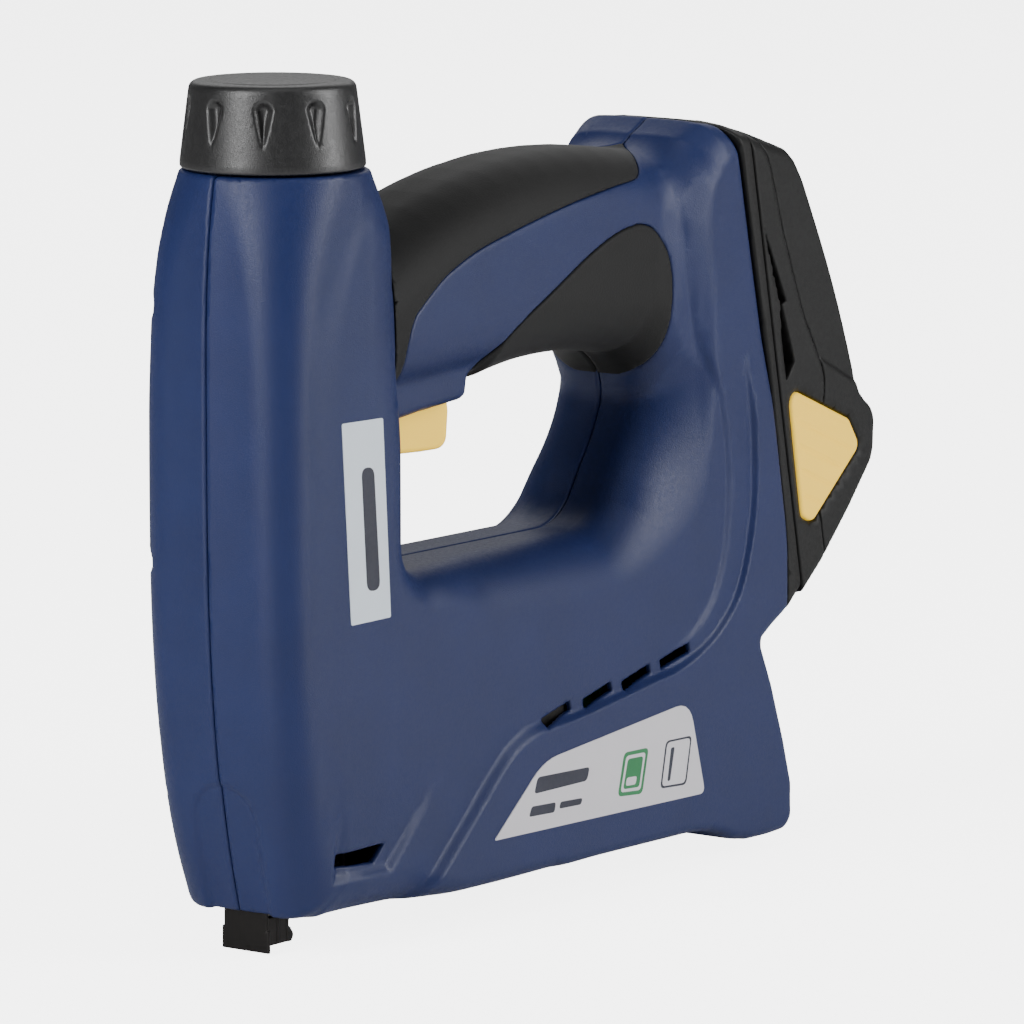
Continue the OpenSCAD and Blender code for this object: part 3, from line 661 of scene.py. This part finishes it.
# ---------------------------------------------------------------------------
# Power knob
# ---------------------------------------------------------------------------
def knob():
    h = 0.3 * FINE
    lo = (-24.0, -24.0, COL_TOP - 1.5)
    hi = (24.0, 24.0, KNOB_TOP + 1.5)
    x, y, z = axes(lo, hi, h)
    r = np.sqrt(x * x + y * y)
    side = [(KNOB_R, COL_TOP + 2.2)] + arc(18.5, KNOB_TOP - 2.7, 2.2, 8, 84, 8)
    side += [(10, KNOB_TOP - 0.1), (0, KNOB_TOP)]
    r = r.astype(np.float32)
    rim = [(0, COL_TOP + 0.4), (KNOB_R - 0.5, COL_TOP + 0.4), (KNOB_R, COL_TOP + 0.9)]
    solid = polygon(rim + side, r, z)
    below = polygon([(0, COL_TOP - 8), (KNOB_R, COL_TOP - 8)] + side, r, z)
    # drop-shaped flutes: round at the top, drawn out to a point below
    sector = math.radians(360 / FLUTES)
    turned = np.arctan2(y, x) - math.radians(-3.5)
    local = (np.mod(turned + sector / 2, sector) - sector / 2) * r
    rise = (z - (COL_TOP + 6.6)) / 9.4
    width = 0.1 + 2.5 * np.clip(rise, 0, 1) ** 0.75
    cut = np.sqrt(local ** 2 + np.maximum(z - (COL_TOP + 15.8), 0) ** 2) - width
    depth = 1.75 * step(cut, 0.3, -2.1) * step(rise, -0.05, 0.25)
    d = solid + depth
    ring = np.exp(-((r - 15.6) / 0.45) ** 2) * step(z, KNOB_TOP - 3, KNOB_TOP - 1.5)
    d = d + 0.25 * ring
    d = smooth_max(d, -(below + 3.6), 0.3)
    stud = overlap(r - 6, z - (KNOB_TOP - 1.5), COL_TOP + 15.0 - z)
    d = np.minimum(d, stud)
    o = build("knob_cap", d, lo, h, 0.02)
    finish_piece(o, KNOB, "knob", "knob_black", "power_knob")


knob()

# ---------------------------------------------------------------------------
# Dock frame, pack and release buttons, in the dock's own frame (t, y, s)
# ---------------------------------------------------------------------------
FRAME_FACE = 8.0      # outer face of the dock frame
PACK_FACE = 8.15      # the pack's face against it
CELLS_Y = (-9.6, 9.6)
CELL_T = 20.6
CELL_BORE_R = 9.5
RAIL_S = (8.2, 100.2)


def pack_back(s):
    """How far the pack's back stands out from the dock, at height s."""
    return 43.2 - (s - 44.6) * 0.222 + 1.2 * math.sin(math.pi * (s - 44.6) / 54)


def pack_split(s):
    """Where the pack's case meets its cover, at height s."""
    return table(s, [0, 14, 30, 50, 58, 69, 93, 113, 121.5],
                 [19.6, 19.6, 23, 28.6, 26.7, 22.6, 17.9, 15.4, 11.5], 2)


PACK_SIDE = [(5, -6.0), (8.15, -4.2), (18.7, 1.4), (33.8, 11.6), (45.9, 20.9), (47.7, 24.0)]
PACK_SIDE += arc(42.3, 32, 7.2, -22, 55, 6) + [(44.6, 40.6), (43.8, 42.6), (43.6, 44.6)]
PACK_SIDE += [(pack_back(s) + 0.7, s) for s in np.linspace(48, 104, 10)]
PACK_SIDE += [(27.6, 110.5), (24.8, 114.4), (20.6, 117.3), (14, 120.9), (8.15, 123.7), (5, 125.1)]
WEDGE = [(8.9, 97), (15.1, 75), (13.0, 74.6), (15.8, 58.2), (11.1, 54), (11.5, 68), (12.3, 75)]
BUTTON = [(15.1, 46.5), (34.9, 33.4), (37.1, 28.2), (16.2, 16.9), (14.5, 18.2)]


def button_outline(t, s, grow):
    """Distance to the button's rounded outline, grown by grow."""
    return polygon(BUTTON, t, s) - 3.1 - grow


def top_drop(s, ay):
    """How much lower the top edge lies towards the sides."""
    return (4.5 * (ay / 26) ** 4 - 1.2) * step(s, 96, 116)


def dock_frame(t, y, s):
    """The black strip along the body, with the T-shaped slot that the pack slides in."""
    ay = np.abs(y)
    strip = polygon([(-2, -7.0), (1.0, -6.0), (8.0, -2.0), (11, -0.3), (11, 122.3), (8.0, 123.9),
                     (4.0, 125.6), (-2, 127)], t, s + top_drop(s, ay))
    frame_d = extrude(strip, np.float32(25.6), y, 2.0, 1.6)
    frame_d = smooth_max(frame_d, dock_reach(s, ay) + 0.15 - t, 0.5)
    frame_d = np.maximum(frame_d, t - FRAME_FACE)
    mouth = overlap(5.2 - t, ay - 7, 8 - s)
    undercut = overlap(between(t, 2.9, 5.5), ay - 11, 8 - s)
    return smooth_max(frame_d, -np.minimum(mouth, undercut), 0.3)


def pack_halves(t, y, s):
    """Case and cover: a rounded block with a wedge-shaped relief towards the dock, hollow inside."""
    ay = np.abs(y)
    side = polygon(PACK_SIDE, t, s + top_drop(s, ay) * step(t, 34, 16))
    # a low shoulder runs across the side above the button
    above = (t - 29.7) * 0.60 + (s - 53.4) * 0.80
    half = 25.75 - 0.7 * step(above, -0.5, 0.7) * step(t - pack_split(s), -1.5, 1.0)
    block = extrude(side, half, y, 2.2, 2.4)
    block = np.maximum(block, PACK_FACE - t)
    seam = np.exp(-((t - pack_split(s)) / 0.4) ** 2) * step(s, 50, 56)
    block = block + 0.3 * seam
    wedge = polygon(WEDGE, t, s)
    block = smooth_max(block, -np.maximum(wedge, 21.6 - ay), 0.3)
    recess = button_outline(t, s, 1.6)
    block = block + 0.3 * step(recess, 0.6, -0.6) * step(ay, 20, 24)
    hollow = extrude(side + 2.0, np.float32(23.6), y, 2.4, 3.0)
    hollow = overlap(hollow, 10.3 - t, -np.maximum(wedge - 1.8, 19.8 - ay))
    shell = np.maximum(block, -hollow)
    pocket_wall = overlap(button_outline(t, s, 2.0), 16.6 - ay, block + 0.8)
    # T-shaped rail that slides in the dock
    rail_web = overlap(between(t, 5.4, 8.4), ay - 6.6, between(s, *RAIL_S))
    rail_foot = overlap(between(t, 3.2, 5.4), ay - 10.6, between(s, *RAIL_S))
    shell = union(shell, pocket_wall, rail_web, rail_foot)
    pocket = np.maximum(button_outline(t, s, 0.3), 18.6 - ay)
    shell = smooth_max(shell, -pocket, 0.5)
    for contact_y in (-5, 5):
        slit = overlap(t - 10, np.abs(y - contact_y) - 0.9, between(s, 8, 22))
        shell = np.maximum(shell, -slit)
    for cell_y in CELLS_Y:
        bore = np.maximum(disc(t, y, (CELL_T, cell_y), CELL_BORE_R), between(s, 32, 98))
        shell = np.maximum(shell, -bore)
    split = pack_split(s)
    case = smooth_max(shell, t - split + 0.07, 0.35)
    cover = smooth_max(shell, split + 0.07 - t, 0.35)
    for screw_y in (-16, 16):
        bore = np.maximum(disc(y, s, (screw_y, 28), SCREW_HOLE_R), 19 - t)
        cover = np.maximum(cover, -bore)
    return case, cover


def dock_and_pack():
    h = 0.5 * FINE
    lo = (-1.0, -27.2, -8.0)
    hi = (52.0, 27.2, 128.5)
    t, y, s = axes(lo, hi, h)
    o = build("dock_frame_strip", dock_frame(t, y, s), lo, h, 0.05, from_dock)
    finish_piece(o, PACK, "body", "pack_black", "dock_frame")
    case, cover = pack_halves(t, y, s)
    o = build("pack_case_shell", case, lo, h, 0.1, from_dock)
    finish_piece(o, PACK, "pack", "pack_black", "pack_case")
    o = build("pack_cover_shell", cover, lo, h, 0.1, from_dock)
    finish_piece(o, PACK, "pack", "pack_black", "pack_cover")


def buttons():
    h = 0.25 * FINE
    thick = 4.6
    for side, name in ((-1, "left"), (1, "right")):
        y0 = -26.0 if side < 0 else 21.4
        lo = (6.0, y0 - 1.0, 13.0)
        hi = (44.0, y0 + thick + 1.0, 52.0)
        t, y, s = axes(lo, hi, h)
        above = y - (y0 + thick)
        below = y0 - y
        out = above if side > 0 else below
        inward = below if side > 0 else above
        side_d = button_outline(t, s, 0)
        # fine grooves run along the upper edge
        a = math.atan2(BUTTON[1][1] - BUTTON[0][1], BUTTON[1][0] - BUTTON[0][0])
        across = -(t - BUTTON[0][0]) * math.sin(a) + (s - BUTTON[0][1]) * math.cos(a) - 1.6
        near = np.mod(across + 2.9, 5.8) - 2.9
        groove = 0.32 * np.exp(-(near / 0.5) ** 2) * step(side_d, -0.8, -2.2)
        outer = out + groove + 0.3 * step(side_d, -9, 0.5)
        d = smooth_max(side_d, outer, 1.3)
        d = smooth_max(d, inward, 0.4)
        o = build("release_button_%s_cap" % name, d, lo, h, 0.03, from_dock)
        finish_piece(o, YELLOW, "button_" + name, "accent_yellow", "release_button_" + name)


dock_and_pack()
buttons()

# ---------------------------------------------------------------------------
# Trigger and contact foot
# ---------------------------------------------------------------------------
def trigger():
    h = 0.3 * FINE
    lo = (27.0, -8.0, 115.0)
    hi = (67.0, 8.0, 141.0)
    x, y, z = axes(lo, hi, h)
    side = [(28.8, 131), (28.8, 119.8), (30.4, 118.6), (41.6, 118.2), (52, 117.7)]
    side += arc(58.6, 121.1, 3.5, -88, -5, 6) + [(62.7, 127.2), (62.2, 130.4), (60.4, 131)]
    d = extrude(polygon(side, x, z), np.float32(6.8), y, 1.6, 2.2)
    stem = polygon([(29.6, 128), (60.2, 128), (57.6, 139.4), (31, 139.4)], x, z)
    stem_d = extrude(stem, np.float32(5.6), y, 0.6, 0.6)
    d = smooth_min(d, stem_d, 0.8)
    d = np.maximum(d, -disc(x, z, TRIGGER_PIN, 1.55))
    o = build("trigger_lever_cap", d, lo, h, 0.03)
    finish_piece(o, YELLOW, "trigger_lever", "accent_yellow", "trigger")


def foot():
    h = 0.2 * FINE
    lo = (-13.4, -8.4, -0.8)
    hi = (-0.6, 8.4, 26.0)
    x, y, z = axes(lo, hi, h)
    ay = np.abs(y)

    def bar(x0, x1, y0, y1, z0, z1, r):
        qx = np.abs(x - (x0 + x1) / 2) - (x1 - x0) / 2 + r
        qy = np.abs(ay - (y0 + y1) / 2) - (y1 - y0) / 2 + r
        qz = np.abs(z - (z0 + z1) / 2) - (z1 - z0) / 2 + r
        out = np.sqrt(np.maximum(qx, 0) ** 2 + np.maximum(qy, 0) ** 2 + np.maximum(qz, 0) ** 2)
        return out + np.minimum(np.maximum(np.maximum(qx, qy), qz), 0) - r

    toe = bar(-12.3, -11.4, -7.4, 7.4, 0, 5.7, 0.2)
    stem = bar(-12.3, -11.4, -6.8, 6.8, 5.0, 24.6, 0.2)
    wings = bar(-11.8, -3.0, 6.0, 7.2, 1.9, 9.1, 0.2)
    ribs = [bar(rib_x - 0.5, rib_x + 0.5, 6.6, 7.5, 2.0, 8.8, 0.25) for rib_x in (-8.45, -4.75)]
    heel = np.maximum(disc(x, z, (-3.6, 3.4), 1.5), between(ay, 6.0, 7.2))
    d = smooth_min(union(toe, stem, wings, *ribs), heel, 0.3)
    d = np.maximum(d, -disc(x, z, (-2.7, 6.6), 1.3))
    o = build("contact_foot_plate", d, lo, h, 0.02)
    finish_piece(o, NOSE, "foot", "nose_black", "contact_foot")


trigger()
foot()

# ---------------------------------------------------------------------------
# Label and badge: film plates with plain printed shapes
# ---------------------------------------------------------------------------
def rounded(points, r):
    """The outline with each corner rounded; r is one radius or one for each corner."""
    n = 5
    p = [Vector(q) for q in points]
    radii = r if isinstance(r, (list, tuple)) else [r] * len(p)
    out = []
    for i, c in enumerate(p):
        a = p[i - 1] - c
        b = p[(i + 1) % len(p)] - c
        cut_a = c + a.normalized() * min(radii[i], a.length / 2)
        cut_b = c + b.normalized() * min(radii[i], b.length / 2)
        for k in range(n + 1):
            u = k / n
            q = cut_a * (1 - u) ** 2 + c * 2 * u * (1 - u) + cut_b * u ** 2
            out.append((q.x, q.y))
    return out


def plate(name, outline, y_face, y_back, material, nodes=()):
    """A thin plate, its outline in x, z."""
    bm = bmesh.new()
    front = [bm.verts.new(((px - MID_X) * MM, y_face * MM, pz * MM)) for px, pz in outline]
    back = [bm.verts.new(((px - MID_X) * MM, y_back * MM, pz * MM)) for px, pz in outline]
    bm.faces.new(front)
    bm.faces.new(back[::-1])
    n = len(outline)
    for i in range(n):
        bm.faces.new([front[i], back[i], back[(i + 1) % n], front[(i + 1) % n]])
    bmesh.ops.recalc_face_normals(bm, faces=bm.faces)
    mesh = bpy.data.meshes.new(name)
    bm.to_mesh(mesh)
    bm.free()
    o = add_object(name, mesh)
    mesh.materials.append(material)
    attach(o, "body")
    if nodes:
        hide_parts(*nodes)


LABEL_SHAPE = rounded([(54.7, 20.4), (75.6, 37.8), (138.8, 44.2), (145.7, 19.0)], [1.0, 6.0, 6.0, 2.5])
BADGE_SHAPE = rounded([(-4.2, 132.8), (12.1, 132.5), (15.1, 82.5), (-0.7, 82.4)], 0.6)
BADGE_FACE = HALF_MAIN + 0.2
# printed shapes on the label: outline, corner radius, material, height of the print
PRINTS = {
    "frame_a": ([(109.9, 34.9), (120.6, 34.7), (117.8, 23.0), (107.1, 23.8)], 1.6, GREEN, 0.15),
    "frame_a_gap": ([(110.8, 33.9), (119.3, 33.7), (117.0, 24.1), (108.3, 24.7)], 1.2, LABEL, 0.165),
    "frame_a_fill": ([(111.5, 33.0), (118.2, 32.8), (116.4, 25.0), (109.4, 25.4)], 1.0, GREEN, 0.18),
    "frame_a_core": ([(111.0, 28.2), (115.4, 28.0), (114.8, 25.9), (110.5, 26.1)], 0.8, LABEL, 0.195),
    "frame_b": ([(128.2, 35.3), (139.7, 35.1), (137.2, 22.5), (125.7, 23.1)], 1.6, INK, 0.15),
    "frame_b_gap": ([(128.8, 34.8), (139.0, 34.6), (136.6, 23.1), (126.4, 23.6)], 1.4, LABEL, 0.165),
    "frame_b_slot": ([(130.4, 33.2), (132.0, 33.2), (130.0, 24.6), (128.8, 24.6)], 0.6, INK, 0.18),
    "bar_a": ([(72.8, 34.0), (95.0, 33.4), (93.8, 30.0), (71.3, 29.9)], 1.2, INK, 0.15),
    "bar_b": ([(70.3, 26.8), (80.5, 26.4), (79.9, 23.9), (69.1, 24.3)], 0.8, INK, 0.15),
    "bar_c": ([(82.5, 26.2), (91.9, 25.8), (91.3, 24.2), (81.9, 24.5)], 0.8, INK, 0.15),
}
for sign, name in ((-1, "left"), (1, "right")):
    plate("label_%s_film" % name, LABEL_SHAPE, sign * (HALF_FRAME + 0.12), sign * (HALF_FRAME - 0.3),
          LABEL, ("label_" + name,))
    for shape, (points, radius, ink, height) in PRINTS.items():
        plate("label_%s_%s" % (name, shape), rounded(points, radius), sign * (HALF_FRAME + height),
              sign * (HALF_FRAME + 0.05), ink)

plate("badge_left_print", BADGE_SHAPE, -BADGE_FACE, -(BADGE_FACE - 0.7),
      BADGE, ("badge_left",))
plate("badge_left_bar", rounded([(3.4, 121), (8.4, 120.8), (10.8, 90), (5.6, 90)], 2.4),
      -(BADGE_FACE + 0.05), -(BADGE_FACE - 0.05), INK)

# ---------------------------------------------------------------------------
# Springs: round wire coils
# ---------------------------------------------------------------------------
def coil(name, centre_x, radius, wire, z0, z1, turns, closed):
    """A helical spring along z from z0 to z1; closed gives the dead turns at each end."""
    steps = 32
    sides = 14
    rings = int(round(turns * steps))
    i = np.arange(rings + 1) / steps
    dead = np.minimum(i, closed[0]) - np.minimum(turns - i, closed[1]) + closed[1]
    free = i - np.minimum(i, closed[0]) - np.maximum(i - (turns - closed[1]), 0)
    ends = sum(closed) * 2 * wire
    height = z0 + dead * 2 * wire + free * (z1 - z0 - ends) / (turns - sum(closed))
    verts = []
    for turn, z in zip(i, height):
        a = 2 * math.pi * turn
        for k in range(sides):
            b = 2 * math.pi * k / sides
            r = radius + wire * math.cos(b)
            verts.append(((centre_x - MID_X + r * math.cos(a)) * MM, r * math.sin(a) * MM,
                          (z + wire * math.sin(b)) * MM))
    faces = []
    for m in range(0, rings * sides, sides):
        for k in range(sides):
            beside = (k + 1) % sides
            faces.append([m + k, m + sides + k, m + sides + beside, m + beside])
    faces.append(list(range(sides)))
    faces.append([rings * sides + sides - 1 - k for k in range(sides)])
    mesh = bpy.data.meshes.new(name)
    mesh.from_pydata(verts, [], faces)
    mesh.update()
    check = bmesh.new()
    check.from_mesh(mesh)
    bmesh.ops.recalc_face_normals(check, faces=check.faces)
    check.to_mesh(mesh)
    check.free()
    mesh.shade_smooth()
    return add_object(name, mesh)


SPRING_LOW = 69.6     # wire centre at the plunger
SPRING_SPLIT = 127.0  # where the lower coil ends and the upper coil begins
SPRING_HIGH = 162.4   # wire centre at the seat
SPRING_R = 11
SPRING_WIRE = 1.5
TRIGGER_SPRING_X = 45.6
TRIGGER_SPRING = (140.0, 145.5)


def springs():
    low = coil("main_spring_lower", 0, SPRING_R, SPRING_WIRE, SPRING_LOW, SPRING_SPLIT, 5.0, (0.75, 0))
    finish_piece(low, STEEL, "body", "steel", "main_spring")
    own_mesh(low)
    high = coil("main_spring_upper", 0, SPRING_R, SPRING_WIRE, SPRING_SPLIT, SPRING_HIGH, 3.0, (0, 0.75))
    finish_piece(high, STEEL, "body", "steel", "main_spring")
    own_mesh(high)
    small = coil("trigger_return_spring", TRIGGER_SPRING_X, 2.2, 0.35, *TRIGGER_SPRING, 5.0, (0.75, 0.75))
    finish_piece(small, STEEL, "body", "steel", "trigger_spring")
    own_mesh(small)


springs()

# ---------------------------------------------------------------------------
# Finishes of the CAD parts inside
# ---------------------------------------------------------------------------
FINISH = {
    "housing_screws": STEEL, "dock_terminals": BRASS, "knob_spindle": STEEL, "spindle_bush": ZINC,
    "spring_seat": BRASS, "spring_tube": ZINC, "plunger": HARD,
    "driver_blade": STEEL, "blade_pin": HARD, "bumper": RUBBER, "drive_frame": ZINC,
    "lifter_gear": HARD, "lifter_axle": STEEL, "idler_gear": HARD, "idler_axle": STEEL,
    # the motor takes the near-black steel finish so the vents look dark: painted shade inside the vents
    "motor": NOSE, "motor_plate": HARD, "motor_pinion": BRASS, "trigger_pin": STEEL,
    "switch_body": DARK, "switch_button": RED, "control_board": BOARD,
    "nose_guide": HARD, "magazine_channel": STEEL_X, "magazine_rail": STEEL_X, "rail_end": DARK,
    "magazine_latch": DARK, "pusher": ZINC, "staples": STEEL_X, "pack_cells": CELL,
    "pack_contacts": BRASS, "pack_screws": STEEL,
}
for node, material in FINISH.items():
    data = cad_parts[node].data
    data.materials.clear()
    data.materials.append(material)

# ---------------------------------------------------------------------------
# Stage: pale floor, soft boxes, room and camera
# ---------------------------------------------------------------------------
PAPER = 0.90      # how pale the floor is
PAPER_GLOW = 4.6  # its own light, seen by the camera only, so it doesn't light the part from below
FLOOR_REACH = 9.0
FLOOR_GAP = 0.0005    # below the part, so the two never share a plane
ROOM_LIGHT = 0.155
LIGHT_TARGET = (0, 0, 0.1)


def pale_floor():
    half = FLOOR_REACH
    corners = [(-half, -half, 0), (half, -half, 0), (half, half, 0), (-half, half, 0)]
    mesh = bpy.data.meshes.new("floor")
    mesh.from_pydata(corners, [], [(0, 1, 2, 3)])
    o = add_object("floor", mesh)
    o.location = (0, 0, -FLOOR_GAP)
    m, tree, shader = new_material("floor_paper")
    tone = noise(tree, 3.0, 3.0)
    mix = ramp(tree, tone.outputs["Fac"], [(0.3, (PAPER * 0.985,) * 3), (0.7, (PAPER,) * 3)])
    tree.links.new(mix.outputs["Color"], shader.inputs["Base Color"])
    shader.inputs["Roughness"].default_value = 0.9
    shader.inputs["Emission Color"].default_value = (1, 1, 1, 1)
    seen = tree.nodes.new("ShaderNodeLightPath")
    glow = tree.nodes.new("ShaderNodeMath")
    glow.operation = "MULTIPLY"
    glow.inputs[1].default_value = PAPER_GLOW
    tree.links.new(seen.outputs["Is Camera Ray"], glow.inputs[0])
    tree.links.new(glow.outputs["Value"], shader.inputs["Emission Strength"])
    mesh.materials.append(m)


pale_floor()


def aim(o, azimuth, elevation, distance, target):
    """Place o at that direction and distance from the target, looking at it."""
    a = math.radians(azimuth)
    e = math.radians(elevation)
    way = Vector((math.sin(a) * math.cos(e), -math.cos(a) * math.cos(e), math.sin(e)))
    o.location = Vector(target) + way * distance
    o.rotation_mode = "QUATERNION"
    o.rotation_quaternion = way.to_track_quat("Z", "Y")


def area_light(name, azimuth, elevation, distance, width, height, power):
    data = bpy.data.lights.new(name, "AREA")
    data.shape = "RECTANGLE"
    data.size = width
    data.size_y = height
    data.energy = power
    o = add_object(name, data)
    aim(o, azimuth, elevation, distance, LIGHT_TARGET)
    o.visible_camera = False


area_light("key_box", azimuth=-95, elevation=26, distance=1.5, width=0.60, height=1.2, power=21)
area_light("side_box", azimuth=26, elevation=22, distance=1.5, width=0.45, height=1.2, power=19)
area_light("top_box", azimuth=-40, elevation=78, distance=1.4, width=1.2, height=1.0, power=3)
area_light("back_wash", azimuth=127, elevation=35, distance=2.2, width=2.0, height=1.5, power=10)

world = bpy.data.worlds.new("studio")
bpy.context.scene.world = world
world.use_nodes = True
# a pale room, darker overhead
sky = world.node_tree
background = sky.nodes["Background"]
direction = sky.nodes.new("ShaderNodeTexCoord")
parts = sky.nodes.new("ShaderNodeSeparateXYZ")
sky.links.new(direction.outputs["Generated"], parts.inputs["Vector"])
shade = ramp(sky, parts.outputs["Z"], [(0.1, (1, 1, 1)), (0.75, (0.22, 0.22, 0.22))])
sky.links.new(shade.outputs["Color"], background.inputs["Color"])
background.inputs["Strength"].default_value = ROOM_LIGHT
# past the floor the camera sees the same pale tone
beyond = sky.nodes.new("ShaderNodeBackground")
beyond.inputs["Strength"].default_value = PAPER_GLOW
path = sky.nodes.new("ShaderNodeLightPath")
either = sky.nodes.new("ShaderNodeMixShader")
sky.links.new(path.outputs["Is Camera Ray"], either.inputs["Fac"])
sky.links.new(background.outputs["Background"], either.inputs[1])
sky.links.new(beyond.outputs["Background"], either.inputs[2])
sky.links.new(either.outputs["Shader"], sky.nodes["World Output"].inputs["Surface"])

camera_data = bpy.data.cameras.new("camera")
camera_data.sensor_width = 36
camera_data.lens = 283.0
camera = add_object("camera", camera_data)
aim(camera, azimuth=-53.05, elevation=8.65, distance=2.06408, target=(-0.001466, 0, 0.096478))
camera_data.clip_start = 0.05
camera_data.clip_end = 20
bpy.context.scene.camera = camera
